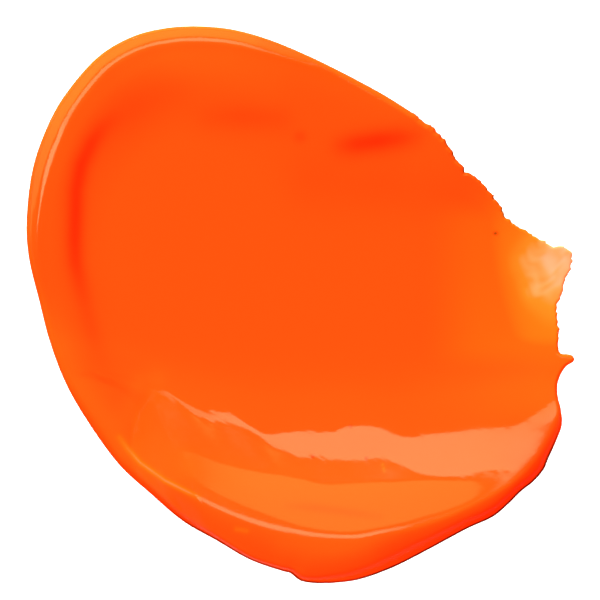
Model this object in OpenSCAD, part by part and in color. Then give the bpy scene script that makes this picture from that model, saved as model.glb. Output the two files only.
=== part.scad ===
// Smear of thick glossy orange paint, lying flat.
// It was dropped in one lot and pushed with a broad blade. The paint is banked up
// along the front, has a low rounded rim on the left and at the back, and is
// dragged out to a thin film with a torn edge on the right.
// Millimetres. X to the right, Y to the back, Z up. The underside is flat on Z = 0.

/* [Overall size] */
// Width of the smear, left to right
smear_w = 65.8; // [56:0.2:76]
// Length of the smear, front to back
smear_l = 66.9; // [57:0.1:77]

/* [Thickness] */
// Thickness of the level pool in the middle
pool_t = 1.15; // [0.9:0.05:1.5]
// Height of the bank of paint along the front
front_bank_t = 4.3; // [3.3:0.1:4.9]
// Height of the low rim on the left and at the back
back_rim_t = 1.9; // [1.6:0.1:2.4]
// Thickness of the film that is dragged out on the right
film_t = 0.2; // [0.15:0.05:0.4]

/* [Edge] */
// How far in from the edge the rounding runs, as a share of its usual width
edge_round = 1.0; // [0.7:0.05:1.3]
// Longest step between points along the edge
edge_step = 1.5; // [1.2:0.1:2.5]

/* [Hidden] */

// The edge seen from above, going anticlockwise. Points are in millimetres on the
// usual size and are stretched to smear_w and smear_l below.
RIM = [
    // back, from the end of the torn edge round to the left
    [13.5, 22.5], [10, 24.7], [4, 27.9], [0, 29.8], [-4, 31.4], [-8, 32.5],
    [-12, 32.9], [-16, 32.7], [-20, 31.7], [-24, 29.4], [-28, 24.9], [-30, 21.5],
    // left side
    [-32, 16], [-32.8, 9], [-32.5, 5], [-31.3, 0], [-30, -5], [-28, -10.2],
    [-25, -15.3], [-21.5, -20], [-18, -23.2], [-14, -26.6], [-10, -28.9],
    // front, with the small notch in it
    [-6, -31.2], [-2, -32.6], [-1.2, -32.8], [0, -33.7], [1.5, -34], [4, -34],
    [7, -33.6], [11, -32.2], [15, -30.2], [20, -27.5], [23.2, -26], [25, -24.5],
    [26.5, -23], [28, -21.8], [29.2, -20.4], [29.8, -19], [30.7, -17], [31.4, -15],
    // right side
    [31.3, -13.2], [30.9, -11.5], [30.9, -10], [31.4, -8.7], [32, -7.9],
    // nub
    [32.8, -7.4], [32.9, -7.1], [32.6, -6.65], [32, -6.5], [31.3, -6.45],
    // torn edge of the film
    [31, -6], [31.05, -4], [30.85, -2], [30.75, -1], [31.1, 0], [31.5, 1],
    [31.8, 2.5], [32.5, 3.8], [32.6, 5], [32.6, 5.7], [32.2, 6.1], [31.2, 6.5],
    [30.3, 6.4], [29.3, 7.05], [28.2, 7.6], [27, 8.4], [26, 8.9], [24.6, 10.1],
    [24, 11.4], [23.2, 12.4], [22, 13.9], [20.6, 15.1], [19.9, 15.4], [19.4, 16.2],
    [18.6, 17.1], [18, 18.3], [17, 19.6], [15.5, 21.1], [14.9, 21.3], [14, 22.2]
];

// The low rim on the left and at the back. Each row is a direction in degrees seen
// from the middle point, then the share of the rim's height, the distance from the
// edge to the crest and to the foot of the inner slope, the width of the edge's
// rounding, and how far the top falls from the crest to the edge.
RIM_ROWS = [
    [20, [0.00, 0.5, 8, 0.4, 0.00]],
    [45, [0.00, 0.5, 9, 0.4, 0.00]],
    [60, [0.10, 1.2, 11, 0.8, 0.00]],
    [70, [0.50, 2.0, 13, 1.0, 0.05]],
    [80, [0.70, 2.5, 14, 0.9, 0.08]],
    [90, [0.80, 3.2, 16, 0.5, 0.02]],
    [98, [0.80, 3.2, 16, 0.45, 0.00]],
    [120, [0.85, 3.9, 13, 0.45, 0.00]],
    [136, [1.00, 3.4, 10.5, 0.5, 0.00]],
    [151, [1.00, 3.0, 10, 0.7, 0.00]],
    [166, [0.70, 2.6, 9, 1.2, 0.00]],
    [185, [0.28, 1.8, 9, 1.3, 0.00]],
    [205, [0.00, 1.5, 9, 2.0, 0.00]],
    [230, [0.00, 1.5, 9, 0.6, 0.00]],
    [260, [0.00, 1.5, 9, 0.6, 0.00]]
];

// The fall from the low rim to the edge, by the same direction: how far in from the
// edge it gets steeper, the width of the gentler face inside that, and the slopes of
// the two in degrees.
RIM_FALL = [
    [70, [0.6, 0.05, 0, 0]],
    [84, [0.8, 0.10, 0, 0]],
    [90, [1.0, 0.15, 9.0, 14]],
    [96, [1.2, 0.46, 8.6, 16]],
    [108, [1.2, 0.68, 7.6, 15]],
    [126, [1.25, 0.72, 7.7, 15]],
    [140, [1.3, 0.92, 9.8, 18]],
    [151, [1.2, 0.35, 10.4, 17]],
    [160, [1.0, 0.15, 4.0, 9]],
    [172, [0.8, 0.1, 0, 0]],
    [190, [0.8, 0.1, 0, 0]]
];

// The top of the bank along the front, by direction from a point at the back: distance
// from the edge to where it starts to round over, the width of the edge's rounding, and
// how far the top falls to the edge.
BANK_FROM = [4, 30];
BANK_ROWS = [
    [-150, [1.5, 0.8, 0.00]],
    [-136, [1.4, 0.8, 0.00]],
    [-126, [1.3, 1.8, 0.00]],
    [-117, [1.2, 1.6, 0.00]],
    [-108, [1.4, 1.0, 0.02]],
    [-100, [2.4, 0.6, 0.12]],
    [-94, [3.4, 0.8, 0.26]],
    [-88, [3.9, 1.5, 0.40]],
    [-82, [3.6, 1.8, 0.50]],
    [-76, [2.5, 1.5, 0.30]],
    [-70, [1.9, 1.3, 0.18]],
    [-65, [1.5, 1.0, 0.12]],
    [-60, [1.1, 0.7, 0.04]],
    [-56.5, [0.8, 0.5, 0.00]],
    [-53, [0.6, 0.4, 0.00]],
    [-48, [0.5, 0.4, 0.00]]
];

// The edge with its notches and torn end evened out, which the slopes follow.
EVEN_EDGE = [
    [12, 23.7], [4, 27.9], [-4, 31.4], [-12, 32.9], [-20, 31.7], [-28, 24.9],
    [-32, 16], [-32.8, 8], [-31.3, 0], [-28, -10.2], [-21.5, -20], [-14, -26.6],
    [-6, -31.1], [2, -33.6], [11, -32.4], [20, -27.8], [28, -21.6], [31.2, -14],
    [32, -4], [31, 5], [22, 14]
];

// Lines across the bank, seen from above, where its slope changes: the fold, a second
// fold, both ends of a steeper band, and the brow of the bank.
FOLD = [
    [-30, -5], [-24, -8.5], [-20.5, -9.6], [-17.8, -10.5], [-14.2, -12], [-11.4, -13.4],
    [-7.6, -14], [-4.2, -16.1], [0, -15.7], [5.7, -15.3], [9.5, -15.3], [13.2, -16.4],
    [19.2, -15.6], [25.4, -15], [30.6, -12], [33, -10], [38, -8]
];
FOLD_2 = [
    [-30, -5.1], [-24, -8.6], [-17.8, -10.75], [-13.2, -13.3], [-8.9, -14.5], [-5.8, -15.8],
    [-3.6, -17.6], [0.2, -18.9], [7.5, -19.1], [11.4, -19.4], [15, -20.9], [19.8, -20.9],
    [24, -20.1], [30, -20.5], [36, -20], [40, -20]
];
BAND = [
    [-30, -12], [-24, -14.5], [-20.5, -15.5], [-17.4, -16.8], [-13.2, -18.3], [-9, -19.9],
    [-4.2, -20.9], [3, -22.1], [12, -21.8], [20.4, -21.6], [32, -21.5], [40, -21]
];
BAND_END = [
    [-24, -15.5], [-19.5, -17.8], [-15.3, -20.4], [-7.2, -24.3], [-2.7, -26.1], [3, -27.6],
    [9, -27.5], [15, -26], [21, -24], [26, -21.7], [32, -21.5], [40, -21]
];
BROW = [
    [-26, -9], [-21.6, -16.5], [-19.2, -19.5], [-16.2, -21.6], [-10.2, -24.55], [-4.2, -26.75],
    [1.8, -28.05], [9, -28.2], [13, -27.6], [18, -25.9], [25, -22.3], [28, -19.5], [31, -13.5],
    [33, -9], [36, -4]
];

// How steep the bank is, in degrees, by the distance across it from left to right:
// before FOLD, after FOLD, FOLD_2, BAND, BAND_END and BROW, past the brow's shelf, and
// at the front edge.
STEEP = [
    [-34, [0, 0, 0, 0, 0, 0, 0, 0]],
    [-31, [0, 0, 0, 0, 0, 0, 0, 0]],
    [-28, [2.0, 3.0, 4.0, 4.0, 4.0, 4.0, 2.0, 0]],
    [-26, [3.0, 5.5, 7.5, 7.5, 7.5, 7.5, 3.5, 1.0]],
    [-24, [4.0, 7.0, 9.0, 9.0, 9.0, 8.2, 3.5, 0]],
    [-21, [4.8, 7.4, 9.2, 9.2, 9.2, 7.8, 3.0, -2.0]],
    [-18, [4.9, 7.4, 9.2, 11.8, 9.3, 7.8, 3.0, -3.0]],
    [-10, [4.9, 7.4, 9.2, 11.8, 9.3, 7.7, 3.0, -5.0]],
    [-6, [4.8, 7.3, 9.2, 11.8, 9.3, 7.6, 2.0, -7.0]],
    [-2, [4.8, 7.2, 9.2, 11.8, 9.3, 7.2, -1.0, -9.0]],
    [2, [4.9, 7.2, 9.2, 11.8, 9.3, -1.0, -4.0, -10]],
    [6, [5.0, 7.2, 9.2, 11.6, 9.3, -4.0, -6.0, -10]],
    [10, [5.0, 7.2, 9.2, 11.4, 9.3, -5.0, -6.0, -10]],
    [14, [5.0, 7.2, 9.2, 9.6, 9.3, -5.0, -6.0, -10]],
    [18, [4.4, 7.0, 9.0, 9.2, 9.0, -5.0, -6.0, -10]],
    [22, [3.4, 6.6, 8.4, 8.4, 8.4, -3.0, -4.0, -6.0]],
    [25, [2.4, 6.2, 6.6, 6.6, 6.6, -1.0, -2.0, -3.0]],
    [28, [1.0, 3.0, 3.0, 3.0, 3.0, 0, 0, 0]],
    [31, [0, 0, 0, 0, 0, 0, 0, 0]],
    [34, [0, 0, 0, 0, 0, 0, 0, 0]]
];

// Width of the shelf past the brow, by the same distance.
SHELF = [[-34, 0.2], [-26, 0.3], [-18, 0.9], [-10, 0.95], [-5, 0.85], [0, 0.2], [6, 0.1], [40, 0.1]];

// Way that the bank's slope faces, in degrees, and where its left flank starts to fall
// away and how steeply.
FACES_WAY = 112;
FLANK_AT = -20.2;
FLANK_STEEP = 20;

// Middle point that the surface is built round; the whole edge can be seen from it.
MIDDLE = [0, -8];

function ring_item(list, i) = list[(i + len(list)) % len(list)];

// A point on the smooth curve from b to c, with a before them and d after them.
function curve(a, b, c, d, t) =
    let (s = sqrt(norm(b - a)), m = sqrt(norm(c - b)), e = sqrt(norm(d - c)))
    let (v1 = m * ((b - a) / s - (c - a) / (s + m) + (c - b) / m))
    let (v2 = m * ((c - b) / m - (d - b) / (m + e) + (d - c) / e))
    (2 * t * t * t - 3 * t * t + 1) * b + (t * t * t - 2 * t * t + t) * v1
    + (3 * t * t - 2 * t * t * t) * c + (t * t * t - t * t) * v2;

// A smooth closed curve through the points of a list, in steps of about step_mm.
function closed_curve(list, step_mm) = [
    for (i = [0:len(list) - 1])
        let (a = ring_item(list, i - 1), b = list[i])
        let (c = ring_item(list, i + 1), d = ring_item(list, i + 2))
        let (n = max(1, ceil(norm(c - b) / step_mm)))
        for (j = [0:n - 1])
            curve(a, b, c, d, j / n)
];

EDGE = closed_curve(RIM, edge_step);
EVEN = closed_curve(EVEN_EDGE, 3);
N = len(EDGE);

// Size of the edge curve, its middle, and the stretch to the size asked for.
EDGE_LEFT = min([for (p = EDGE) p[0]]);
EDGE_RIGHT = max([for (p = EDGE) p[0]]);
EDGE_FRONT = min([for (p = EDGE) p[1]]);
EDGE_BACK = max([for (p = EDGE) p[1]]);
STRETCH = [smear_w / (EDGE_RIGHT - EDGE_LEFT), smear_l / (EDGE_BACK - EDGE_FRONT)];
SHIFT = [(EDGE_LEFT + EDGE_RIGHT) / 2, (EDGE_FRONT + EDGE_BACK) / 2];

// Smooth step from 0 at a to 1 at b.
function ease(a, b, v) =
    let (t = min(1, max(0, (v - a) / (b - a))))
    t * t * (3 - 2 * t);

// The values of a table at v, on a smooth curve through its rows.
function row_at(rows, v, i) =
    rows[i + 1][0] > v || i + 3 >= len(rows) ? i : row_at(rows, v, i + 1);
function row_lean(rows, i) =
    (rows[i + 1][1] - rows[i - 1][1]) / (rows[i + 1][0] - rows[i - 1][0]);
function table(rows, v) =
    let (i = row_at(rows, v, 1), w = rows[i + 1][0] - rows[i][0])
    let (t = min(1, max(0, (v - rows[i][0]) / w)))
    (2 * t * t * t - 3 * t * t + 1) * rows[i][1]
    + (t * t * t - 2 * t * t + t) * w * row_lean(rows, i)
    + (3 * t * t - 2 * t * t * t) * rows[i + 1][1]
    + (t * t * t - t * t) * w * row_lean(rows, i + 1);

// Direction of p from the middle point, 0 to 360 degrees.
function direction(p) =
    let (a = atan2(p[1] - MIDDLE[1], p[0] - MIDDLE[0]))
    a < 0 ? a + 360 : a;

// Direction of p from the point at the back, -360 to 0 degrees.
function bank_direction(p) =
    let (a = atan2(p[1] - BANK_FROM[1], p[0] - BANK_FROM[0]))
    a > 0 ? a - 360 : a;

// Distance from p to the stretch from a to b.
function to_stretch(p, a, b) =
    let (d = b - a, t = min(1, max(0, (p - a) * d / (d * d))))
    norm(p - a - t * d);
function from_even_edge(p) =
    min([for (i = [0:len(EVEN) - 1]) to_stretch(p, EVEN[i], ring_item(EVEN, i + 1))]);

// Share of the outer edge's shape that comes from the front bank, not the low rim.
function front_part(p) =
    let (a = direction(p))
    a < 20 ? 1 : ease(200, 222, a);

// Distance to the start of the round top, rounding width and fall for each spoke.
SHAPE = [
    for (p = EDGE)
        let (f = front_part(p), r = table(RIM_ROWS, direction(p)))
        [r[1], r[3], r[4]] * (1 - f) + table(BANK_ROWS, bank_direction(p)) * f
];

// Thickness of the pool. It is a shallow dish, and thins to the film on the right.
DISH_RISE = 0.25;
function pool(p) =
    let (thin = ease(14, 31, p[0]) * ease(-15, 5, p[1]))
    let (dish = DISH_RISE * (1 - exp(-pow(norm(p - [-2, -3]) / 22, 2))))
    film_t + (pool_t + dish - film_t) * (1 - thin);

// Share of an extra height that is left at distance u, from 1 at crest to 0 at foot.
function fall(u, crest, foot, power) =
    1 - ease(0, 1, pow(min(1, max(0, (u - crest) / (foot - crest))), power));

// 0 below d = 0 and d above it, rounded over about w. Then the height past a line at
// distance d, where the slope turns from was to now degrees.
function bend(d, w) = d > 20 * w ? d : w * ln(1 + exp(d / w));
function turn(d, was, now, w) = (tan(now) - tan(was)) * bend(d, w);

// Extra height of the low rim at p, at distance u in from the edge.
RIM_H = back_rim_t - pool_t - 0.2;
function rim_extra(p, u) =
    let (r = table(RIM_ROWS, direction(p)), f = table(RIM_FALL, direction(p)))
    RIM_H * max(0, r[0]) * fall(from_even_edge(p), r[1], r[2], 0.8)
    - turn(f[0] + f[1] - u, 0, f[2], 0.1) - turn(f[0] - u, f[2], f[3], 0.1);

// Distance of a point across the bank, then how far back it is.
function bank_place(p) = [
    p[0] * sin(FACES_WAY) - p[1] * cos(FACES_WAY), p[0] * cos(FACES_WAY) + p[1] * sin(FACES_WAY)
];
function bank_rows(line) = [for (p = line) bank_place(p)];
FOLD_ROWS = bank_rows(FOLD);
LINE_ROWS = [bank_rows(FOLD_2), bank_rows(BAND), bank_rows(BAND_END), bank_rows(BROW)];

// How far past a line a place is, with the line's bends evened out, and with them
// dying away with distance.
EVENED = [[-4, 0.08], [-2.6, 0.15], [-1.3, 0.17], [0, 0.2], [1.3, 0.17], [2.6, 0.15], [4, 0.08]];
function even_past(rows, q) = [for (e = EVENED) e[1]] * [for (e = EVENED) table(rows, q[0] + e[0])] - q[1];
function past(rows, q) =
    let (far = even_past(rows, q))
    far + (table(rows, q[0]) - q[1] - far) * exp(-pow(far / 3.2, 2));

// Extra height of the front bank at p.
BANK_H = (front_bank_t - pool_t) / 3.15;
function bank_extra(p) =
    let (q = bank_place(p), k = table(STEEP, q[0]), shelf = table(SHELF, q[0]))
    let (fold = even_past(FOLD_ROWS, q), d = [for (rows = LINE_ROWS) past(rows, q)])
    let (rise = turn(fold + 4.2, 0, k[0], 1.2) + turn(past(FOLD_ROWS, q), k[0], k[1], 0.2)
        + turn(d[0], k[1], k[2], 0.2) + turn(d[1], k[2], k[3], 0.2) + turn(d[2], k[3], k[4], 0.2))
    let (beyond = bend(FLANK_AT - q[0], 0.4), flank = tan(FLANK_STEEP) * beyond)
    let (most = 0.15 * ease(-4, 1, fold) + 0.115 * bend(fold, 0.4) - 0.075 * bend(fold - 3, 1)
        + 0.16 * beyond * ease(-1, 5, fold))
    BANK_H * (bend(rise - min(flank, most), 0.04) + ease(-26, -21.5, q[0])
        * (turn(d[3], k[4], k[5], 0.15) + turn(d[3] - shelf, k[5], k[6], 0.3)
            + turn(d[3] - shelf - 1.2, k[6], k[7], 0.6)));

// Rounding of the outer edge, from 0 at the edge to 1 at its full width.
function edge_lift(u, width) =
    pow(max(0, 1 - pow(1 - min(1, u / width), 3)), 1 / 3);

// Steps in from the edge, as shares of the rounding's width, then of what is left.
ROUND_STEPS = [0, 0.012, 0.06, 0.16, 0.34, 0.62, 1];
INNER_STEPS = [
    0.025, 0.055, 0.09, 0.13, 0.17, 0.215, 0.26, 0.31, 0.365, 0.43, 0.5, 0.59, 0.7, 0.84
];
RINGS = len(ROUND_STEPS) + len(INNER_STEPS);

// Distance of each edge point from the middle point, and its rounding's width.
REACH = [for (p = EDGE) norm(p - MIDDLE)];
ROUND_W = [for (r = SHAPE) edge_round * max(0.3, r[1])];

// Height of the surface at p, on spoke k, at distance u in from the edge.
function height(k, p, u) =
    let (crest = max(0.4, SHAPE[k][0]), out = max(0, 1 - u / crest))
    let (full = pool(p) + bank_extra(p) + rim_extra(p, u) - max(0, SHAPE[k][2]) * out * out)
    edge_lift(u, ROUND_W[k]) * max(0.05, full);

// A point of the outline's plane, stretched to size and centred, at height z.
function placed(p, z) =
    [(p[0] - SHIFT[0]) * STRETCH[0], (p[1] - SHIFT[1]) * STRETCH[1], z];

// The points of one ring, from the edge inwards.
function ring(r) = [
    for (k = [0:N - 1])
        let (n = len(ROUND_STEPS), w = ROUND_W[k])
        let (u = r < n ? w * ROUND_STEPS[r] : w + (REACH[k] - w) * INNER_STEPS[r - n])
        let (p = EDGE[k] + (MIDDLE - EDGE[k]) * (u / REACH[k]))
        placed(p, r == 0 ? 0 : height(k, p, u))
];

POINTS = concat(
    [for (r = [0:RINGS - 1]) each ring(r)],
    [placed(MIDDLE, pool(MIDDLE) + bank_extra(MIDDLE)), placed(MIDDLE, 0)]
);

FACES = concat(
    // rings of the upper surface
    [
        for (r = [0:RINGS - 2], k = [0:N - 1])
            [r * N + k, (r + 1) * N + (k + 1) % N, r * N + (k + 1) % N]
    ],
    [
        for (r = [0:RINGS - 2], k = [0:N - 1])
            [r * N + k, (r + 1) * N + k, (r + 1) * N + (k + 1) % N]
    ],
    // last ring up to the middle point
    [
        for (k = [0:N - 1])
            [(RINGS - 1) * N + k, RINGS * N, (RINGS - 1) * N + (k + 1) % N]
    ],
    // flat underside
    [for (k = [0:N - 1]) [k, (k + 1) % N, RINGS * N + 1]]
);

// The whole smear: one mass of paint.
module paint_smear() {
    color([1, 0.33, 0.06])
        polyhedron(points = POINTS, faces = FACES, convexity = 4);
}

paint_smear();
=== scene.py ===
import math
import bpy
import numpy as np
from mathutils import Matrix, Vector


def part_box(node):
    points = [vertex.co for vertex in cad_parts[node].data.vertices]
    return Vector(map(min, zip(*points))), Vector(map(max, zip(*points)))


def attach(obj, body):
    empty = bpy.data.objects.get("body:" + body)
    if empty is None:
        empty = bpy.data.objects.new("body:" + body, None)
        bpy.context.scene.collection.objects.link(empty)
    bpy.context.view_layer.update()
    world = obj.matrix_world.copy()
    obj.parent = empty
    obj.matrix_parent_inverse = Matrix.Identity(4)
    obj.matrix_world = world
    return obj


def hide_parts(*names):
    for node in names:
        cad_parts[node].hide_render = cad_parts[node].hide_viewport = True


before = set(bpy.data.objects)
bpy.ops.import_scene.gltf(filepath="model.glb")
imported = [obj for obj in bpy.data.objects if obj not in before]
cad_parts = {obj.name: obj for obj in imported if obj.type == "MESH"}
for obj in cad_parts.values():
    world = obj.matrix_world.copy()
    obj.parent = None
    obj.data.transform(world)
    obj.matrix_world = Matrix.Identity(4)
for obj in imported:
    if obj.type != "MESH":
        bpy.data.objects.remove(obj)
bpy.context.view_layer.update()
LOW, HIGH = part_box("paint_smear")

# ---------------------------------------------------------------- outline and shape
# Points and sizes in this part are in millimetres, as in part.scad, and are brought
# to the CAD solid's own box further down.
RIM = [
    (13.5, 22.5), (10, 24.7), (4, 27.9), (0, 29.8), (-4, 31.4), (-8, 32.5),
    (-12, 32.9), (-16, 32.7), (-20, 31.7), (-24, 29.4), (-28, 24.9), (-30, 21.5),
    (-32, 16), (-32.8, 9), (-32.5, 5), (-31.3, 0), (-30, -5), (-28, -10.2),
    (-25, -15.3), (-21.5, -20), (-18, -23.2), (-14, -26.6), (-10, -28.9),
    (-6, -31.2), (-2, -32.6), (-1.2, -32.8), (0, -33.7), (1.5, -34), (4, -34),
    (7, -33.6), (11, -32.2), (15, -30.2), (20, -27.5), (23.2, -26), (25, -24.5),
    (26.5, -23), (28, -21.8), (29.2, -20.4), (29.8, -19), (30.7, -17), (31.4, -15),
    (31.3, -13.2), (30.9, -11.5), (30.9, -10), (31.4, -8.7), (32, -7.9),
    (32.8, -7.4), (32.9, -7.1), (32.6, -6.65), (32, -6.5), (31.3, -6.45),
    (31, -6), (31.05, -4), (30.85, -2), (30.75, -1), (31.1, 0), (31.5, 1),
    (31.8, 2.5), (32.5, 3.8), (32.6, 5), (32.6, 5.7), (32.2, 6.1), (31.2, 6.5),
    (30.3, 6.4), (29.3, 7.05), (28.2, 7.6), (27, 8.4), (26, 8.9), (24.6, 10.1),
    (24, 11.4), (23.2, 12.4), (22, 13.9), (20.6, 15.1), (19.9, 15.4), (19.4, 16.2),
    (18.6, 17.1), (18, 18.3), (17, 19.6), (15.5, 21.1), (14.9, 21.3), (14, 22.2),
]
# The low rim on the left and at the back, by direction from MIDDLE in degrees: distance
# of its crest from the edge, width of the edge's rounding, fall from the crest to the
# edge, share of the rim's full height, distance of its foot.
RIM_ROWS = [
    (20, 0.5, 0.4, 0.00, 0.00, 8), (45, 0.5, 0.4, 0.00, 0.00, 9), (60, 1.2, 0.8, 0.00, 0.10, 11),
    (70, 2.0, 1.0, 0.05, 0.50, 13), (80, 2.5, 0.9, 0.08, 0.70, 14),
    (90, 3.2, 0.5, 0.02, 0.80, 16), (98, 3.2, 0.45, 0.00, 0.80, 16),
    (120, 3.9, 0.45, 0.00, 0.85, 13), (136, 3.4, 0.5, 0.00, 1.00, 10.5),
    (151, 3.0, 0.7, 0.00, 1.00, 10), (166, 2.6, 1.2, 0.00, 0.70, 9),
    (185, 1.8, 1.3, 0.00, 0.28, 9), (205, 1.5, 2.0, 0.00, 0.00, 9),
    (230, 1.5, 0.6, 0.00, 0.00, 9), (260, 1.5, 0.6, 0.00, 0.00, 9),
]
# The fall from the low rim to the edge, by the same direction: distance from the edge
# of a bright narrow face, its width, its slope in degrees, the slope outside it.
RIM_FALL = [
    (70, 0.6, 0.05, 0, 0), (84, 0.8, 0.10, 0, 0), (90, 1.00, 0.15, 9.0, 14.0),
    (96, 1.18, 0.50, 8.6, 16.0), (101, 1.20, 0.68, 8.0, 15.5), (108, 1.20, 0.76, 7.6, 15.0),
    (118, 1.20, 0.78, 7.4, 14.5), (126, 1.25, 0.80, 7.7, 15.0), (133, 1.35, 0.80, 8.6, 16.5),
    (140, 1.32, 0.92, 9.8, 18.0), (146, 1.22, 0.65, 10.8, 19.0), (151, 1.20, 0.35, 10.4, 17.0),
    (160, 1.00, 0.15, 4.0, 9.0), (172, 0.8, 0.1, 0, 0), (190, 0.8, 0.1, 0, 0),
]
# How softly the slope turns at the face and outside it, and how early the low rim falls
# on its way to its foot: below 1 is early.
FACE_SOFT, OUTSIDE_SOFT, RIM_POWER = 0.03, 0.06, 0.8
# The bank along the front, by direction from BANK_FROM: crest, rounding and fall.
BANK_ROWS = [
    (-150, 1.5, 0.8, 0.00), (-136, 1.4, 0.8, 0.00), (-126, 1.3, 1.8, 0.00),
    (-117, 1.2, 1.6, 0.00), (-108, 1.4, 1.0, 0.02), (-100, 2.4, 0.6, 0.12), (-94, 3.4, 0.8, 0.26),
    (-88, 3.9, 1.5, 0.40), (-82, 3.6, 1.8, 0.50), (-76, 2.5, 1.5, 0.30), (-70, 1.9, 1.3, 0.18),
    (-65, 1.5, 1.0, 0.12), (-60, 1.1, 0.7, 0.04), (-56.5, 0.8, 0.5, 0.00), (-53, 0.6, 0.4, 0.00),
    (-48, 0.5, 0.4, 0.00),
]
# The outline without its small bends, which the low rim's slopes follow.
EVEN_EDGE = [
    (12, 23.7), (4, 27.9), (-4, 31.4), (-12, 32.9), (-20, 31.7), (-28, 24.9),
    (-32, 16), (-32.8, 8), (-31.3, 0), (-28, -10.2), (-21.5, -20), (-14, -26.6),
    (-6, -31.1), (2, -33.6), (11, -32.4), (20, -27.8), (28, -21.6), (31.2, -14),
    (32, -4), (31, 5), (22, 14),
]
MIDDLE = np.array((0.0, -8.0))
BANK_FROM = (4.0, 30.0)
POOL_T, FILM_T, BACK_RIM_T = 1.15, 0.2, 1.9
# The pool rises towards its rim from the bottom of a shallow dish.
DISH_AT, DISH_REACH, DISH_RISE, DISH_RISE_AT_RIM = (-2, -3), 22, 0.25, 0.2
# The front bank is steep in steps. Each line below is where the paint, on the way from
# the pool to the front edge, changes how steeply it rises away from LIGHT_WAY.
LIGHT_AZIMUTH = 112
LIGHT_WAY = math.radians(LIGHT_AZIMUTH)
FOLD = [
    (-30, -5), (-24, -8.5), (-20.5, -9.6), (-17.8, -10.5), (-15.4, -11.3), (-14.2, -12),
    (-12.8, -12.9), (-11.4, -13.5), (-10.4, -13.4), (-8.8, -13.4), (-7.6, -14),
    (-6, -15.1), (-4.2, -16.2), (-3, -16.1), (0, -15.7), (3.9, -15.8), (5.7, -15.1),
    (9.5, -15.2), (11.2, -16), (13.2, -16.5), (15, -16), (19.2, -15.6), (21.6, -15.2),
    (25.4, -15), (27, -14.3), (30.6, -12), (33, -10), (38, -8),
]
FOLD_2 = [
    (-30, -5.1), (-24, -8.6), (-20.5, -9.75), (-17.8, -10.75), (-15.4, -11.7), (-13.2, -13.3),
    (-11.3, -14.5), (-8.9, -14.5), (-7.2, -15.1), (-5.8, -15.8), (-4.2, -17), (-3.6, -17.6),
    (-1.8, -18.2), (0.2, -18.9), (1.4, -18.6), (3.6, -19.1), (7.5, -19.1), (9.9, -18.8),
    (11.4, -19.4), (12.9, -20.1), (15, -20.9), (19.8, -20.9), (21, -20.5), (24, -20.1),
    (27, -20.4), (30, -20.5), (36, -20), (40, -20),
]
BAND = [
    (-30, -12), (-24, -14.5), (-20.5, -15.5), (-17.4, -16.8), (-13.2, -18.3), (-9, -19.9),
    (-4.2, -20.9), (-0.6, -21.5), (3, -22.2), (8, -22), (12, -21.8), (20.4, -21.6),
    (26, -21.6), (32, -21.5), (40, -21),
]
BAND_END = [
    (-24, -15.5), (-19.5, -17.8), (-15.3, -20.4), (-11.7, -22.2), (-7.2, -24.3), (-2.7, -26.1),
    (0, -27), (3, -27.6), (6, -27.8), (9, -27.5), (12, -26.9), (15, -26), (18, -25.2),
    (21, -24), (22.8, -22.8), (26, -21.7), (32, -21.5), (40, -21),
]
LINE = [
    (-26, -9), (-23.4, -13), (-21.6, -16.5), (-20.7, -17.8), (-19.2, -19.5), (-16.2, -21.6),
    (-13.2, -23.1), (-10.2, -24.55), (-7.2, -25.75), (-4.2, -26.75), (-1.2, -27.5),
    (1.8, -28.05), (6, -28.35), (9, -28.2), (13, -27.6), (18, -25.9), (21, -24.5), (25, -22.3),
    (28, -19.5), (30, -16), (31, -13.5), (33, -9), (36, -4),
]
# How steep, in degrees, after each line, by the distance across the light's way:
# before FOLD, after FOLD, after FOLD_2, after BAND, after BAND_END, after LINE, past
# LINE's foot, at the front edge.
STEEP = [
    (-34, 0, 0, 0, 0, 0, 0, 0, 0),
    (-31, 0, 0, 0, 0, 0, 0, 0, 0),
    (-28, 2.0, 3.0, 4.0, 4.0, 4.0, 4.0, 2.0, 0.0),
    (-26, 3.0, 5.5, 7.5, 7.5, 7.5, 7.5, 3.5, 1.0),
    (-24, 4.0, 7.0, 9.0, 9.0, 9.0, 8.2, 3.5, 0.0),
    (-21, 4.8, 7.4, 9.2, 9.2, 9.2, 7.8, 3.0, -2.0),
    (-18, 4.9, 7.4, 9.2, 11.8, 9.3, 7.8, 3.0, -3.0),
    (-14, 4.9, 7.4, 9.2, 11.8, 9.3, 7.8, 3.0, -4.0),
    (-10, 4.9, 7.4, 9.2, 11.8, 9.3, 7.7, 3.0, -5.0),
    (-6, 4.8, 7.3, 9.2, 11.8, 9.3, 7.6, 2.0, -7.0),
    (-2, 4.8, 7.2, 9.2, 11.8, 9.3, 7.2, -1.0, -9.0),
    (2, 4.9, 7.2, 9.2, 11.8, 9.3, -1.0, -4.0, -10.0),
    (6, 5.0, 7.2, 9.2, 11.6, 9.3, -4.0, -6.0, -10.0),
    (10, 5.0, 7.2, 9.2, 11.4, 9.3, -5.0, -6.0, -10.0),
    (14, 5.0, 7.2, 9.2, 9.6, 9.3, -5.0, -6.0, -10.0),
    (18, 4.4, 7.0, 9.0, 9.2, 9.0, -5.0, -6.0, -10.0),
    (22, 3.4, 6.6, 8.4, 8.4, 8.4, -3.0, -4.0, -6.0),
    (25, 2.4, 6.2, 6.6, 6.6, 6.6, -1.0, -2.0, -3.0),
    (28, 1.0, 3.0, 3.0, 3.0, 3.0, 0.0, 0.0, 0.0),
    (31, 0, 0, 0, 0, 0, 0, 0, 0),
    (34, 0, 0, 0, 0, 0, 0, 0, 0),
]
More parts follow.
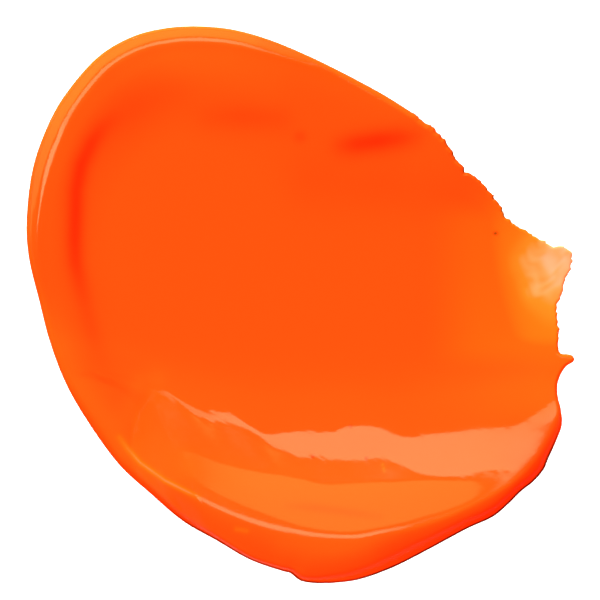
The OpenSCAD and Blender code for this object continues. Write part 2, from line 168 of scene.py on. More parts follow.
# Width of the bright line's shelf and of the fall after it, by the same distance.
SHELF = [
    (-34, 0.2, 0.8), (-26, 0.3, 0.3), (-23, 0.6, 0.25), (-18, 0.9, 0.25), (-15, 1.0, 0.25),
    (-10, 0.95, 0.3), (-5, 0.85, 0.3), (-2, 0.4, 0.35), (1, 0.1, 0.4), (6, 0.1, 0.4), (40, 0.1, 0.4),
]
# The left flank: where the bank starts to fall to the left, how steeply and how softly.
FLANK_AT, FLANK_STEEP, FLANK_SOFT = -20.2, 20, 0.4
# How far before FOLD the bank starts to rise, and how far past the bright line's shelf
# its foot ends.
BANK_START, FOOT_END = 4.2, 1.2
# How softly the slope turns there and at the lines between.
START_SOFT, FOLD_SOFT, BAND_SOFT = 1.2, 0.09, 0.12
BAND_END_SOFT, LINE_SOFT, FOOT_SOFT = 0.2, 0.08, 0.6
# Ragged waves of the two folds and of the torn outline: length and height of each.
FOLD_WAVES = [(2.4, 0.06), (1.2, 0.12), (0.7, 0.10)]
FOLD_2_WAVES = [(1.4, 0.13), (0.8, 0.15)]
TORN_WAVES = [(2.1, 0.06), (1.0, 0.07), (0.55, 0.05)]
FOLD_SEED, TORN_SEED = 34, 11
# How far from a line its own bends are still followed, and its ragged waves.
BEND_REACH, RAGGED_REACH = 3.2, 0.45
# How a line's bends are evened out: how far along it, and that place's share.
EVENING = [
    (-4, 0.08), (-2.6, 0.15), (-1.3, 0.17), (0, 0.2), (1.3, 0.17), (2.6, 0.15), (4, 0.08),
]
# Short scarps left by the blade: from, to, drop, half width, how far they fade.
SCARPS = [
    ((-26.9, 19), (-26.6, 2), 0.05, 0.9, 3.5),
    ((-12, 22.3), (-1, 21.8), 0.035, 1.2, 3),
    ((3.5, 18.6), (15, 19.8), 0.06, 1.0, 3.5),
]
# The edge is rounded as a curve of this power. The mesh has this many rings of points,
# and this many of them over the rounding.
ROUND_POWER = 3
RINGS, ROUND_RINGS = 146, 16
# The film at the right: its tip, how thin it looks by distance from there, the rosy
# spots in it with their widths, and the height of its wrinkles.
FILM_TIP = (31, 5)
FILM_GLOW = [
    (-2, 1), (0, 1), (1.5, 1), (2.5, 0.86), (4, 0.72), (5.5, 0.52), (7, 0.44), (9, 0.32),
    (12, 0.12), (15, 0), (18, 0),
]
ROSY = [(27.9, 1.0, 1.6), (26.4, 4.4, 1.8)]
WRINKLE_T = 0.012
# The thinnest that the paint gets before its edge is rounded.
LEAST_T = 0.05


def ease(a, b, v):
    """0 up to a, 1 from b on, smooth between. With b below a it goes the other way."""
    t = np.clip((v - a) / (b - a), 0.0, 1.0)
    return t * t * (3.0 - 2.0 * t)


def near(d, w):
    """1 at d = 0, fading over about w."""
    return np.exp(-(d / w)**2)


def bend(d, w):
    """0 below d = 0 and d above it, rounded over about w."""
    return w * np.logaddexp(0, d / w)


def lesser(p, q, w):
    """The lesser of p and q, rounded over about w where they meet."""
    return -w * np.logaddexp(-p / w, -q / w)


def slope(degrees):
    """Rise over run."""
    return np.tan(np.radians(degrees))


def hermite(t, b, c, leave, arrive):
    """From b to c as t goes from 0 to 1, with the given slopes at the two ends."""
    return ((2 * t**3 - 3 * t * t + 1) * b + (t**3 - 2 * t * t + t) * leave
            + (3 * t * t - 2 * t**3) * c + (t**3 - t * t) * arrive)


def curve_points(points, step):
    """Points about step apart on a smooth closed curve through points."""
    P = np.array(points, float)
    n = len(P)
    out = []
    for i in range(n):
        a, b, c, d = P[i - 1], P[i], P[(i + 1) % n], P[(i + 2) % n]
        s, m, e = (math.sqrt(np.linalg.norm(v)) for v in (b - a, c - b, d - c))
        leave = m * ((b - a) / s - (c - a) / (s + m) + (c - b) / m)
        arrive = m * ((c - b) / m - (d - b) / (m + e) + (d - c) / e)
        k = max(1, math.ceil(np.linalg.norm(c - b) / step))
        out += [hermite(j / k, b, c, leave, arrive) for j in range(k)]
    return np.array(out)


def table(rows, v):
    """The values of a table at v, on a smooth curve through all its rows but the end ones."""
    R = np.array(rows, float)
    a, w = R[:, 0], R[:, 1:]
    v = np.clip(v, a[1], a[-2] - 1e-6)
    i = np.clip(np.searchsorted(a, v, side="right") - 1, 1, len(a) - 3)
    h = a[i + 1] - a[i]
    t = ((v - a[i]) / h)[..., None]

    def lean(k):
        return h[..., None] * (w[k + 1] - w[k - 1]) / (a[k + 1] - a[k - 1])[..., None]

    out = hermite(t, w[i], w[i + 1], lean(i), lean(i + 1))
    return out[..., 0] if out.shape[-1] == 1 else out


def distance(X, Y, C):
    """Distance of each point to a closed polyline."""
    best = np.full(X.shape, np.inf)
    for a, b in zip(C, np.roll(C, -1, 0)):
        d = b - a
        t = np.clip(((X - a[0]) * d[0] + (Y - a[1]) * d[1]) / (d @ d), 0, 1)
        best = np.minimum(best, (X - a[0] - t * d[0])**2 + (Y - a[1] - t * d[1])**2)
    return np.sqrt(best)


def wobble(v, waves, seed):
    """Three sines for each (length, height) pair, with seeded lengths and phases, added up."""
    rnd = np.random.default_rng(seed)
    out = np.zeros_like(v)
    for length, size in waves:
        for _ in range(3):
            out += size / 1.7 * np.sin(2 * math.pi * v / (length * rnd.uniform(0.8, 1.25))
                                       + rnd.uniform(0, 6.28))
    return out


def directions(X, Y, at):
    """Direction of each point from at, in degrees."""
    return np.degrees(np.arctan2(Y - at[1], X - at[0]))


def way(X, Y):
    """How far a point is towards the light, and how far across."""
    c, n = math.cos(LIGHT_WAY), math.sin(LIGHT_WAY)
    return X * c + Y * n, X * n - Y * c


def past_line(points, a, b, ragged=()):
    """How far past a line each point is, evening out the line's bends with distance, and
    how far past the evened line. A line with ragged waves is rough close up."""
    rows = [way(x, y)[::-1] for x, y in points]
    even = sum(share * table(rows, b + off) for off, share in EVENING)
    far = even - a
    d = far + (table(rows, b) - even) * near(far, BEND_REACH)
    return d + wobble(b + 0.4 * a, ragged, FOLD_SEED) * near(d, RAGGED_REACH), far


def turn(d, was, now, width):
    """Height past a line at distance d, where the slope turns from was to now degrees."""
    return (slope(now) - slope(was)) * bend(d, width)


def front_bank(X, Y):
    """Height of the front bank above the pool."""
    a, b = way(X, Y)
    k = table(STEEP, b).T
    shelf, foot_soft = table(SHELF, b).T
    fold, fold_even = past_line(FOLD, a, b, FOLD_WAVES)
    fold_2, _ = past_line(FOLD_2, a, b, FOLD_2_WAVES)
    band, _ = past_line(BAND, a, b)
    band_end, _ = past_line(BAND_END, a, b)
    line, _ = past_line(LINE, a, b)
    H = (turn(fold_even + BANK_START, 0, k[0], START_SOFT) + turn(fold, k[0], k[1], FOLD_SOFT)
         + turn(fold_2, k[1], k[2], FOLD_SOFT) + turn(band, k[2], k[3], BAND_SOFT)
         + turn(band_end, k[3], k[4], BAND_END_SOFT))
    # the left flank takes this height away again, but no more than most
    past_flank = bend(FLANK_AT - b, FLANK_SOFT)
    most = (0.15 * ease(-4, 1, fold_even) + 0.115 * bend(fold_even, 0.4)
            - 0.075 * bend(fold_even - 3.0, 1) + 0.16 * past_flank * ease(-1, 5, fold_even))
    H = bend(H - lesser(slope(FLANK_STEEP) * past_flank, most, 0.05), 0.02)
    # the bright line's shelf, its foot and the front edge
    return H + ease(-26, -21.5, b) * (
        turn(line, k[4], k[5], LINE_SOFT) + turn(line - shelf, k[5], k[6], foot_soft)
        + turn(line - shelf - FOOT_END, k[6], k[7], FOOT_SOFT))


def edge_curve():
    """The outline, evenly spaced, with the fine raggedness of the torn end added."""
    C = curve_points(RIM, 0.25)
    seg = np.linalg.norm(np.roll(C, -1, 0) - C, axis=1)
    s = np.concatenate([[0], np.cumsum(seg)])
    C = np.vstack([C, C[:1]])
    even = np.linspace(0, s[-1], 8 * RINGS, endpoint=False)
    P = np.stack([np.interp(even, s, C[:, 0]), np.interp(even, s, C[:, 1])], 1)
    A = directions(P[:, 0], P[:, 1], MIDDLE) % 360
    torn = ease(3.2, 5, A) * ease(68, 62, A)
    rough = wobble(even, TORN_WAVES, TORN_SEED)
    reach = np.linalg.norm(P - MIDDLE, axis=1)
    return MIDDLE + (P - MIDDLE) * ((reach + torn * rough) / reach)[:, None]


EDGE = edge_curve()
EVEN = curve_points(EVEN_EDGE, 1.5)
EDGE_LOW, EDGE_HIGH = EDGE.min(0), EDGE.max(0)
BOX_LOW, BOX_HIGH = np.array(LOW[:2]), np.array(HIGH[:2])


def place(P):
    """Points of the outline's plane, in mm, brought to the CAD solid's box, in metres."""
    return BOX_LOW + (P - EDGE_LOW) / (EDGE_HIGH - EDGE_LOW) * (BOX_HIGH - BOX_LOW)


def edge_form(X, Y):
    """The low rim's row of RIM_ROWS, and its first three values blended into the bank's."""
    A = directions(X, Y, MIDDLE) % 360
    Q = directions(X, Y, BANK_FROM)
    Q = np.where(Q > 0, Q - 360, Q)
    part = np.where(A < 20, 1.0, ease(200, 222, A))       # 0 at the low rim, 1 at the bank
    low, front = table(RIM_ROWS, A).T, table(BANK_ROWS, Q).T
    least = [[0.4], [0.3], [0]]
    return low, np.maximum(low[:3] * (1 - part) + front * part, least)


def scarps(X, Y):
    """Height of the blade's short scarps: a soft step that fades on both sides."""
    total = np.zeros(X.shape)
    for start, end, drop, half, fade in SCARPS:
        p, q = np.array(start, float), np.array(end, float)
        length = np.linalg.norm(q - p)
        along = (q - p) / length
        across = np.array((along[1], -along[0]))
        across *= 1 if way(*across)[0] > 0 else -1
        s = ((X - p[0]) * along[0] + (Y - p[1]) * along[1]) / length
        d = (X - p[0]) * across[0] + (Y - p[1]) * across[1]
        total += (drop * np.tanh(d / half) * np.exp(-np.abs(d) / fade)
                  * ease(-0.12, 0.3, s) * ease(1.12, 0.7, s))
    return total


def relief(X, Y, U):
    """Height of the paint at distance U from the edge, and the width of the rounding."""
    low, (crest, width, dome) = edge_form(X, Y)
    thin = ease(14, 31, X) * ease(-15, 5, Y)      # the pool thins to the film at the right
    dish = DISH_RISE * (1 - near(np.hypot(X - DISH_AT[0], Y - DISH_AT[1]), DISH_REACH))
    pool = FILM_T + (POOL_T + dish - FILM_T) * (1 - thin)

    # the low rim, and its fall to the edge
    rim_crest, _, _, share, foot = low
    way_down = np.clip((distance(X, Y, EVEN) - rim_crest) / (foot - rim_crest), 0, 1)
    rim = ((BACK_RIM_T - POOL_T - DISH_RISE_AT_RIM) * np.maximum(share, 0)
           * (1 - ease(0, 1, way_down**RIM_POWER)))
    face_at, face_width, face, outside = table(RIM_FALL, directions(X, Y, MIDDLE) % 360).T
    rim -= (slope(face) * bend(face_at + face_width - U, FACE_SOFT)
            + (slope(outside) - slope(face)) * bend(face_at - U, OUTSIDE_SOFT))

    H = (pool + rim + front_bank(X, Y) - dome * np.clip((crest - U) / crest, 0, 1)**2
         + scarps(X, Y) + WRINKLE_T * wrinkles(X, Y) * ease(0.6, 0.95, film_colour(X, Y)))
    inward = np.minimum(1, U / width)
    lift = np.maximum(0, 1 - (1 - inward)**ROUND_POWER)**(1 / ROUND_POWER)
    return lift * np.maximum(H, LEAST_T), width


def film_colour(X, Y):
    """How far the paint has thinned to see-through film, for its colour: 0 to 1."""
    x, y = X - FILM_TIP[0], Y - FILM_TIP[1]
    glow = table(FILM_GLOW, np.hypot(x, y * np.where(y < 0, 0.65, 1.0)))
    flat = 0.25 * ease(14, 22, X) * ease(-9, -5, Y) * ease(13, 9, Y)
    film = np.maximum(flat, glow * ease(-7.5, -4, Y) * ease(20, 27, X + 0.25 * Y))
    rosy = 0.15 * sum(near(np.hypot(X - x, Y - y), w) for x, y, w in ROSY)
    film = np.minimum(1, film + rosy)
    return film - 0.07 * ease(0.55, 0.9, film) * (1 + wrinkles(X, Y))


def wrinkles(X, Y):
    """Soft wrinkles of the drying film, about -1 to 1."""
    bent = Y + 0.9 * np.sin(0.9 * X + 0.4) + 0.4 * np.sin(2.1 * X - 1.3 * Y)
    across = X + 0.7 * np.sin(1.2 * Y + 0.9) + 0.3 * np.sin(2.3 * Y + 0.8 * X)
    return (0.5 * np.sin(1.9 * bent + 1.1 * across) + 0.3 * np.sin(2.9 * across - 1.4 * bent)
            + 0.2 * np.sin(4.7 * bent + 3.3))


# Painted shade and painted light: the paint is made redder (above 0) where shade is painted and
# yellower (below 0) where light is painted. How wide, then points with how much it is there.
PAINTED_SHADE_AND_LIGHT = [
    (1.15, [(-22.4, 21.8, 0.15), (-23.8, 20.6, 0.35), (-25.0, 18.8, 0.60), (-26.2, 16.2, 0.68),
            (-26.8, 13.2, 0.66), (-26.9, 10.2, 0.68), (-27.0, 7.2, 0.66), (-26.9, 4.6, 0.58),
            (-26.3, 1.8, 0.42), (-25.7, -0.9, 0.26), (-24.9, -3.9, 0.22), (-24.2, -6.0, 0.10),
            (-23.0, -8.8, 0.02)]),
    (2.4, [(-23.0, 20.5, 0.10), (-20.2, 23.0, 0.20), (-15.6, 25.4, 0.10)]),
    (1.8, [(-10.6, 21.9, 0.12), (-7.0, 21.9, 0.22), (-2.5, 21.6, 0.16)]),
    (1.5, [(5.4, 18.5, 0.32), (6.8, 18.7, 0.56), (9.4, 19.1, 0.62), (11.6, 19.4, 0.48),
           (13.4, 19.5, 0.24)]),
    (2.0, [(-17.0, -16.8, -0.10), (-14.0, -20.0, -0.18)]),
    (1.3, [(-22.5, -9.6, -0.08), (-20.0, -10.6, -0.18), (-20.2, -12.0, -0.20), (-20.6, -13.8, -0.16),
           (-21.5, -14.6, -0.06)]),
    (1.3, [(-17.2, -9.4, -0.14), (-19.0, -9.8, -0.14)]),
    (0.7, [(-0.1, 19.6, 0.28), (0.1, 19.6, 0.28)]),
    (0.7, [(14.0, -27.6, -0.05), (18.0, -25.9, -0.15), (21.0, -24.7, -0.15), (25.0, -22.3, -0.05)]),
    (0.5, [(-1.5, -24.7, 0.08), (1.5, -24.9, 0.22), (6.0, -25.5, 0.22), (9.5, -26.0, 0.10)]),
    (3.6, [(1.5, 13.8, 0.12), (12, 13.4, 0.14), (21, 12.6, 0.13)]),
    (2.2, [(-31.0, -1.0, -0.10), (-29.0, -5.5, -0.38), (-27.6, -9.0, -0.42), (-24.0, -14.0, -0.34),
           (-21.5, -18.0, -0.34), (-17.0, -21.5, -0.12)]),
    (4.0, [(-14, -11, -0.08), (0, -12, -0.10), (12, -12, -0.10), (18, -11, -0.19),
           (24, -11, -0.28), (29, -11, -0.32)]),
    (3.4, [(-8, -21, -0.12), (8, -21, -0.14), (22, -19, -0.14)]),
    (1.6, [(-2, -30, -0.15), (4, -30.6, -0.22), (8, -30.6, -0.15)]),
    (1.3, [(7, -34, 0.15), (12, -32.2, 0.32), (16, -29.8, 0.40), (20, -27.6, 0.45), (24, -25, 0.50),
           (27, -22.3, 0.50), (29.5, -19, 0.40), (31, -15, 0.20)]),
    (1.1, [(-31.7, 14, -0.02), (-30.6, 17.6, -0.08), (-29, 22.2, -0.30), (-24, 28.6, -0.36),
           (-18, 31.8, -0.36), (-12, 32.5, -0.36), (-6, 31.6, -0.25)]),
    (2.6, [(-20, 27.6, -0.08), (-15, 28.4, -0.26), (-9, 28.2, -0.22), (-4, 27.0, -0.10)]),
]
# A painted highlight: a thin pale line that carries the strip light's reflection on along the left
# of the front bank. Then two small pale flecks on the paint. The same way.
PALE_HIGHLIGHT_AND_FLECKS = [
    (0.33, [(-21.6, -16.5, 0.50), (-20.7, -17.8, 0.80), (-19.2, -19.5, 0.88), (-16.2, -21.65, 0.90),
            (-13.2, -23.15, 0.90), (-12.2, -23.6, 0.6)]),
    (0.3, [(-7.6, -27.5, 0.6), (-6.4, -27.7, 0.6)]),
    (0.16, [(9.9, -19.8, 1.0), (10.1, -20.5, 1.0)]),
]
# Tiny dark specks in the paint.
SPECKS = [
    (0.27, [(23.4, 8.0, 1), (23.45, 8.0, 1)]), (0.2, [(6.0, -15.2, 0.9), (6.05, -15.2, 0.9)]),
    (0.2, [(1.5, -18.75, 0.9), (1.55, -18.8, 0.9)]), (0.2, [(7.9, -19.0, 0.9), (7.95, -19.0, 0.9)]),
]
# Where the skin is duller, the same way: 1 takes the shine away, more widens the place.
DULL = [
    (1.3, [(-17.6, -11.8, 0.7), (-18.6, -12.6, 1.3), (-19.1, -14.0, 1.3), (-19.4, -15.6, 1.3),
           (-19.6, -16.8, 1.1)]),
    (1.4, [(-12.9, -19.4, 0.45), (-12.2, -22.4, 0.45)]),
    (0.28, [(-12.1, -24.35, 1.0), (-11.6, -24.7, 1.0)]),
    (2.4, [(-13.5, -17.5, 0.35), (-12.0, -19.8, 0.4), (-9.6, -21.7, 0.3), (-7.5, -23.7, 0.1)]),
    (0.9, [(-17.6, -11.1, 0.55), (-15.0, -12.0, 0.5), (-12.5, -13.4, 0.35), (-9.0, -14.0, 0.12)]),
    (0.8, [(-7.5, -16.5, 0.6), (-6.9, -17.4, 0.6)]),
    (0.9, [(-8.5, 30.9, 0.1), (-5.0, 30.0, 0.45), (-1.0, 28.9, 0.8), (4.0, 27.0, 0.9)]),
    (2.8, [(24.5, -12.6, 0.45), (28.0, -11.6, 0.7), (31.0, -8.8, 0.9)]),
    (0.55, [(10.3, -28.1, 0.2), (12.0, -27.95, 1.0), (14.0, -27.35, 1.8), (18, -26, 1.8),
            (21, -24.6, 1.8), (25, -22.4, 1.8), (28, -19.6, 1.8)]),
]


def streaks(X, Y, rows_list):
    """The sum of soft streaks along lines of points, each with its width and depth."""
    total = np.zeros(X.shape)
    for half, rows in rows_list:
        rows = np.array(rows, float)
        steps = np.append(0, np.cumsum(np.hypot(*np.diff(rows[:, :2], axis=0).T)))
        at = np.linspace(0, steps[-1], int(steps[-1] / 0.4) + 2)
        here = np.zeros(X.shape)
        for x, y, much in zip(*(np.interp(at, steps, column) for column in rows.T)):
            spot = much * near(np.hypot(X - x, Y - y), half)
            here = np.where(abs(spot) > abs(here), spot, here)
        total += here
    return total


def shade_and_light_tone(X, Y):
    """How much green and blue is left in the paint's colour: 1 as mixed, less is redder where shade
    is painted, more is yellower where light is painted.
    """
    return np.clip(1 - streaks(X, Y, PAINTED_SHADE_AND_LIGHT), 0.1, 1.6)


def painted_foot_shade_and_specks(X, Y, U):
    """How much red, and how much green and blue, is left in the dark specks and in the painted shade
    along the foot of the edge.
    """
    A = directions(X, Y, MIDDLE) % 360
    # painted shade: a dark line along the foot of the torn edge and of the front edge
    torn = ((0.35 + 0.4 * ease(22, 34, A)) * ease(0, 8, A) * ease(64, 58, A)
            * ease(0.36, 0.12, U))
    front = ease(0.40, 0.14, U) * (0.75 * ease(215, 240, A) * ease(285, 270, A)
                                   + 0.9 * ease(268, 290, A) * ease(352, 340, A))
    speck = np.clip(streaks(X, Y, SPECKS), 0, 0.93)
    return ((1 - torn) * (1 - front) * (1 - speck),
            (1 - 0.25 * torn) * (1 - front) * (1 - 0.6 * speck))


def gloss(X, Y, U, width):
    """How glossy the skin is: 1 fully, less at the foot of the edge and in dull places."""
    return ease(0.4, 0.95, U / width) * np.clip(1 - streaks(X, Y, DULL), 0.05, 1)


# ---------------------------------------------------------------- mesh
def around(values, where):
    """Values given at the edge's points, read at places counted in those points."""
    return np.interp(where, np.arange(len(values) + 1), np.append(values, values[0]))


def ring_points():
    """Rings of points from the edge in: the outermost has 8 * RINGS, each next one 8 fewer."""
    reach = np.linalg.norm(EDGE - MIDDLE, axis=1)
    _, (_, width, _) = edge_form(EDGE[:, 0], EDGE[:, 1])
    for _ in range(30):                    # even it out along the edge
        width = (np.roll(width, 1) + 2 * width + np.roll(width, -1)) / 4
    # how far in the rings are: over the rounding, and from there to the middle
    quarter = np.linspace(0, math.pi / 2, ROUND_RINGS + 1)
    step_in = 1 - np.cos(quarter)**(2 / ROUND_POWER)
    inner = np.linspace(0, 1, RINGS - ROUND_RINGS + 1)[1:]
    inner = inner + 0.3375 * inner * (1 - inner) * (2 * inner - 1)     # closer at both ends
    rings = []
    for j in range(RINGS):
        k = 8 * (RINGS - j)
        where = np.arange(k) / k * len(EDGE)
        ex, ey, w, rc = (around(v, where) for v in (EDGE[:, 0], EDGE[:, 1], width, reach))
        if j <= ROUND_RINGS:
            u = w * step_in[j]
        else:
            u = w + (rc - w) * inner[j - ROUND_RINGS - 1]
        t = u / rc
        rings.append(np.stack([ex + (MIDDLE[0] - ex) * t, ey + (MIDDLE[1] - ey) * t], 1))
    return rings


def ring_faces():
    """Faces between the rings, then the flat underside, a fan round one more point."""
    starts = np.cumsum([0] + [8 * (RINGS - j) for j in range(RINGS)])
    faces = []
    for j in range(RINGS):
        m = RINGS - j                      # each of the ring's four sides has 2 m steps
        for side in range(4):
            row = [starts[j] + (side * 2 * m + i) % (8 * m) for i in range(2 * m + 1)]
            low = [starts[j + 1]]
            if m > 1:
                low = [starts[j + 1] + (side * 2 * (m - 1) + i) % (8 * (m - 1))
                       for i in range(2 * m - 1)]
            # corner triangles at both ends, quads between
            faces.append((row[0], row[1], low[0]))
            for i in range(len(low) - 1):
                faces.append((row[i + 1], row[i + 2], low[i + 1], low[i]))
            faces.append((row[-2], row[-1], low[-1]))
    first, bottom = 8 * RINGS, starts[-1] + 1
    return faces + [((i + 1) % first, i, bottom) for i in range(first)]


def build_smear():
    """The paint as one closed mesh, with the numbers at each point that its material reads."""
    rings = ring_points()
    P = np.vstack(rings + [MIDDLE[None]])
    X, Y = P.T
    U = distance(X, Y, EDGE)
    U[:len(rings[0])] = 0
    Z, rounding = relief(X, Y, U)
    Z[:len(rings[0])] = 0
    verts = np.column_stack([place(P), Z / 1000])
    verts = np.vstack([verts, [*place(MIDDLE), 0]])
    verts[:, 2] += LOW[2]
    bottom = len(P)
    faces = ring_faces()

    mesh = bpy.data.meshes.new("paint")
    mesh.from_pydata(verts.tolist(), [], faces)
    mesh.validate()
    mesh.polygons.foreach_set("use_smooth", [len(f) != 3 or bottom not in f for f in faces])
    # The pale streaks: the first is a painted highlight, a pale line that carries on the strip
    # light's reflection, and the others are pale flecks. They go into the film layer, whose palest
    # colours paint them.
    pale = np.clip(streaks(X, Y, PALE_HIGHLIGHT_AND_FLECKS), 0, 0.9)
    yellow = shade_and_light_tone(X, Y) * (1 - 0.62 * pale)      # the painted highlight and the pale flecks are whitish, not yellow
    # painted shade along the foot of the edge, and the dark specks
    red, rest = painted_foot_shade_and_specks(X, Y, U)
    # The tone layer carries the painted shade and painted light of the streaks. The film layer also
    # carries the painted highlight.
    # each layer's name, its values, and its value at the underside's own point
    for name, values, below in (
            ("film", np.maximum(film_colour(X, Y), pale), 0),
            ("red", red, 1),
            ("shade_and_light_tone", yellow * rest, 1),
            ("gloss", gloss(X, Y, U, rounding), 0)):
        layer = mesh.attributes.new(name, "FLOAT", "POINT")
        layer.data.foreach_set("value", np.append(values, below).astype(np.float32))
    mesh.update()
    ob = bpy.data.objects.new("paint", mesh)
    bpy.context.scene.collection.objects.link(ob)
    return ob


# ---------------------------------------------------------------- material
def set_ramp(ramp, stops):
    """Give a new colour ramp its stops, from lowest to highest."""
    els = ramp.color_ramp.elements
    for i, (position, colour) in enumerate(stops):
        stop = els[i] if i < 2 else els.new(position)
        stop.position, stop.color = position, (*colour, 1)


def paint_material():
    mat = bpy.data.materials.new("orange_paint")
    mat.use_nodes = True
    nt = mat.node_tree
    nt.nodes.clear()
    add, link = nt.nodes.new, nt.links.new

    def layer(name):
        node = add("ShaderNodeAttribute")
        node.attribute_type = "GEOMETRY"
        node.attribute_name = name
        return node.outputs["Fac"]

    out = add("ShaderNodeOutputMaterial")
    shader = add("ShaderNodeBsdfPrincipled")
    shader.inputs["IOR"].default_value = 1.5
    link(shader.outputs["BSDF"], out.inputs["Surface"])

    # colour: by how thin the film is, with the painted highlight that the film layer holds, times
    # how much red and how much of the rest is left after the painted shade and painted light of the
    # streaks, the painted shade at the edge's foot and the specks
    ramp = add("ShaderNodeValToRGB")
    set_ramp(ramp, [
        (0.0, (0.95, 0.0345, 0.0016)), (0.25, (0.95, 0.048, 0.0016)),
        (0.5, (0.95, 0.071, 0.0023)), (0.7, (0.95, 0.102, 0.006)),
        (0.85, (0.94, 0.148, 0.042)), (1.0, (0.93, 0.19, 0.10))])
    link(layer("film"), ramp.inputs["Fac"])
    left = add("ShaderNodeCombineColor")
    link(layer("red"), left.inputs["Red"])
    rest = layer("shade_and_light_tone")
    link(rest, left.inputs["Green"])
    link(rest, left.inputs["Blue"])
    colour = add("ShaderNodeMix")
    colour.data_type, colour.blend_type = "RGBA", "MULTIPLY"
    colour.inputs["Factor"].default_value = 1
    link(ramp.outputs["Color"], colour.inputs["A"])
    link(left.outputs["Color"], colour.inputs["B"])
    link(colour.outputs["Result"], shader.inputs["Base Color"])

    # shine: up to the usual level where the gloss is full
    level = add("ShaderNodeMapRange")
    level.inputs["To Max"].default_value = 0.5
    link(layer("gloss"), level.inputs["Value"])
    link(level.outputs["Result"], shader.inputs["Specular IOR Level"])

    # slightly uneven roughness, and a very fine grain
    coords = add("ShaderNodeTexCoord")
    noise = add("ShaderNodeTexNoise")
    noise.inputs["Scale"].default_value = 260
    noise.inputs["Detail"].default_value = 3
    link(coords.outputs["Object"], noise.inputs["Vector"])
    rough = add("ShaderNodeMapRange")
    rough.inputs["To Min"].default_value = 0.05
    rough.inputs["To Max"].default_value = 0.09
    link(noise.outputs["Fac"], rough.inputs["Value"])
    link(rough.outputs["Result"], shader.inputs["Roughness"])
    grain = add("ShaderNodeTexNoise")
    grain.inputs["Scale"].default_value = 1100
    link(coords.outputs["Object"], grain.inputs["Vector"])
    bump = add("ShaderNodeBump")
    bump.inputs["Distance"].default_value = 0.000003
    link(grain.outputs["Fac"], bump.inputs["Height"])
    link(bump.outputs["Normal"], shader.inputs["Normal"])
    return mat


# ---------------------------------------------------------------- the smear
paint = build_smear()
paint.data.materials.append(paint_material())
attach(paint, "root")
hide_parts("paint_smear")

# ---------------------------------------------------------------- floor, light, camera
FLOOR_SIZE, FLOOR_GAP = 8, 0.00002
bpy.ops.mesh.primitive_plane_add(size=FLOOR_SIZE, location=(0, 0, -FLOOR_GAP))
floor = bpy.context.object
floor.name = "floor"
floor_mat = bpy.data.materials.new("floor")
floor_mat.use_nodes = True
floor_shader = floor_mat.node_tree.nodes["Principled BSDF"]
floor_shader.inputs["Base Color"].default_value = (0.82, 0.82, 0.82, 1)
floor_shader.inputs["Roughness"].default_value = 0.9
floor_shader.inputs["Specular IOR Level"].default_value = 0.1
floor.data.materials.append(floor_mat)

LIGHT_DISTANCE = 3.0
STRIP_COLOUR, PANEL_COLOUR, WHITE = (1, 0.95, 0.5), (1, 0.9, 0.2), (1, 1, 1)


def rectangle(name, size_x, size_y, radiance, colour):
    """A rectangular light of the given radiance."""
    data = bpy.data.lights.new(name, "AREA")
    data.shape = "RECTANGLE"
    data.size, data.size_y = size_x, size_y
    data.energy = radiance * math.pi * data.size * data.size_y
    data.color = colour
    ob = bpy.data.objects.new(name, data)
    bpy.context.scene.collection.objects.link(ob)
    return ob


def level_light(name, a, b, size_a, size_b, radiance, colour, azimuth=LIGHT_WAY):
    """A level panel overhead, with its centre and sizes as tangents from straight up:
    a towards the azimuth, b across."""
    h = LIGHT_DISTANCE
    ob = rectangle(name, size_a * h, size_b * h, radiance, colour)
    c, s = math.cos(azimuth), math.sin(azimuth)
    ob.location = (h * (a * c + b * s), h * (a * s - b * c), h)
    ob.rotation_euler = (0, 0, azimuth)


def aimed_light(name, off, azimuth, size_x, size_y, radiance):
    """A white panel aimed at the smear, off degrees from overhead. Reflections don't show it."""
    ob = rectangle(name, size_x, size_y, radiance, WHITE)
    o, z = math.radians(off), math.radians(azimuth)
    ob.location = (LIGHT_DISTANCE * math.sin(o) * math.cos(z),
                   LIGHT_DISTANCE * math.sin(o) * math.sin(z), LIGHT_DISTANCE * math.cos(o))
    ob.rotation_euler = (o, 0, z + math.pi / 2)
    ob.visible_glossy = False
    return ob


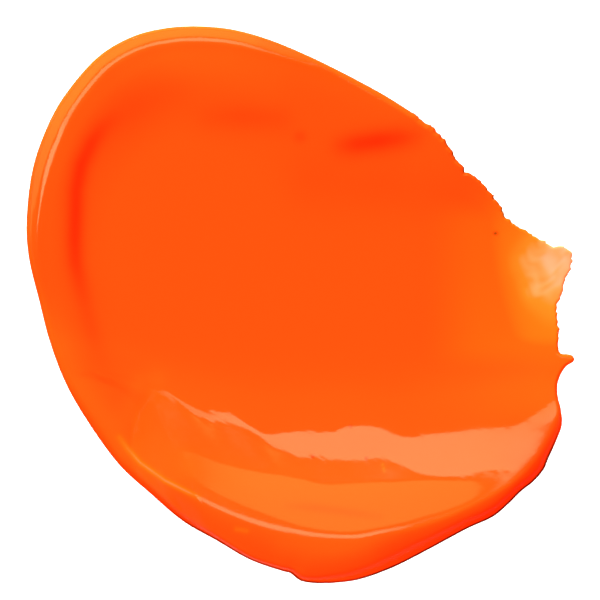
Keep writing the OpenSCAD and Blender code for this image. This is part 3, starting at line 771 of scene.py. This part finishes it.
# The strip and the panel that the pale bands reflect, from and to degrees off overhead.
for name, start, end, b, size_b, radiance, colour in (
        ("strip", 12.5, 17.2, 0.065, 0.59, 4.0, STRIP_COLOUR),
        ("panel", 20.5, 40, -0.175, 2.05, 1.85, PANEL_COLOUR)):
    level_light(name, (slope(start) + slope(end)) / 2, b, slope(end) - slope(start), size_b,
                radiance, colour)
level_light("strip_end", 0.38, 0, 0.095, 0.17, 5.2, STRIP_COLOUR, LIGHT_WAY + math.radians(53))
# The two lights that brighten the paint. Only the floor blocks them, so the paint casts no
# shadow on it.
key = aimed_light("key", 72, LIGHT_AZIMUTH, 2.4, 1.2, 69.5)
fill = aimed_light("fill", 60, -65, 2.4, 1.6, 6.0)
blockers = bpy.data.collections.new("key_blockers")
blockers.objects.link(floor)
key.light_linking.blocker_collection = fill.light_linking.blocker_collection = blockers

world = bpy.data.worlds.new("world")
bpy.context.scene.world = world
world.use_nodes = True
sky = world.node_tree
background = sky.nodes["Background"]
coords = sky.nodes.new("ShaderNodeTexCoord")
parts = sky.nodes.new("ShaderNodeSeparateXYZ")
by_height = sky.nodes.new("ShaderNodeValToRGB")
set_ramp(by_height, [(0.0, (1.2, 1.15, 1.0)), (0.75, (0.05, 0.05, 0.025))])
sky.links.new(coords.outputs["Generated"], parts.inputs["Vector"])
sky.links.new(parts.outputs["Z"], by_height.inputs["Fac"])
sky.links.new(by_height.outputs["Color"], background.inputs["Color"])
background.inputs["Strength"].default_value = 1.0

# The camera looks straight down and takes in FRAME_WIDTH at the height PAINT_LEVEL.
CAMERA_HEIGHT, PAINT_LEVEL, FRAME_WIDTH, SENSOR_MM = 2.0, 0.0015, 0.072, 36
cam_data = bpy.data.cameras.new("camera")
cam = bpy.data.objects.new("camera", cam_data)
bpy.context.scene.collection.objects.link(cam)
cam.location = (*place(np.zeros(2)), CAMERA_HEIGHT)
cam_data.sensor_width = SENSOR_MM
cam_data.lens = SENSOR_MM * (CAMERA_HEIGHT - PAINT_LEVEL) / FRAME_WIDTH
cam_data.clip_start, cam_data.clip_end = 0.1, 20
bpy.context.scene.camera = cam
bpy.context.scene.view_settings.view_transform = "Standard"
bpy.context.scene.view_settings.look = "None"
